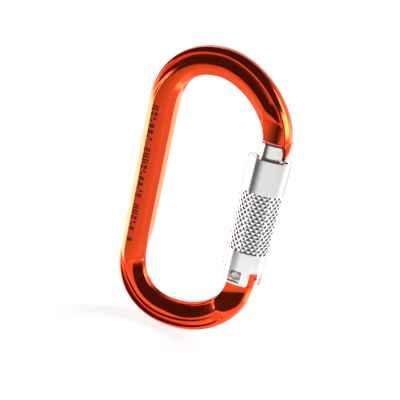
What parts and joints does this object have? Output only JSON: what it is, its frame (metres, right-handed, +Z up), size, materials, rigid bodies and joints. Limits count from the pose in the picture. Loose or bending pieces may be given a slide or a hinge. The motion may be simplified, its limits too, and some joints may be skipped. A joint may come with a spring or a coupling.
{
  "type": "locking carabiner",
  "caption": "Oval aluminium carabiner with grooved bends, a flat-faced spine and a spring-hinged gate under a knurled locking sleeve that lifts and turns.",
  "frame": {"origin": "on the surface it stands on, under the middle of the outline's bounding box", "axes": "+Z up the long axis from the lower bend to the upper bend, +X from the spine towards the gate, +Y through the flat sides, away from the side that shows the rivet head"},
  "size_m": [0.0596, 0.0166, 0.111],
  "materials": {
    "anodised_orange": "polished forged aluminium with orange anodising",
    "satin_aluminium": "satin turned aluminium, knurled on the grip",
    "steel": "stainless steel",
    "spring_steel": "drawn spring wire",
    "bronze": "machined bronze"
  },
  "bodies": {
    "frame_body": {"frame": "anodised_orange", "hinge_rivet": "steel"},
    "gate_body": {"gate": "satin_aluminium", "gate_spring": "spring_steel", "guide_pin": "steel", "retaining_ring": "spring_steel", "sleeve_spring": "spring_steel"},
    "plunger_body": {"spring_plunger": "steel"},
    "lift_body": {"lift_washer": "steel"},
    "sleeve_body": {"locking_sleeve": "satin_aluminium", "spring_seat": "bronze", "cam_bush": "bronze"}
  },
  "joints": [
    {"name": "gate_swing", "type": "hinge", "parent": "frame_body", "child": "gate_body", "pos_m": [0.0206, 0, 0.032], "axis": [0, -1, 0], "range_deg": [0, 24], "stiffness_Nm_per_rad": 0.6, "springref_deg": -22.92},
    {"name": "plunger_slide", "type": "slide", "parent": "gate_body", "child": "plunger_body", "axis": [0, 0, 1], "range_m": [0, 0.0014], "deforming": ["gate_spring"]},
    {"name": "sleeve_lift", "type": "slide", "parent": "gate_body", "child": "lift_body", "axis": [0, 0, 1], "range_m": [0, 0.003], "stiffness_N_per_m": 1000, "springref_m": -0.002, "deforming": ["sleeve_spring"]},
    {"name": "sleeve_turn", "type": "hinge", "parent": "lift_body", "child": "sleeve_body", "pos_m": [0.02146, 0, 0.0532], "axis": [0, 0, -1], "range_deg": [0, 90], "stiffness_Nm_per_rad": 0.02, "springref_deg": -28.65}
  ],
  "couplings": [
    {"joint": "plunger_slide", "follows": "gate_swing", "m_per_rad": 0.003056}
  ]
}
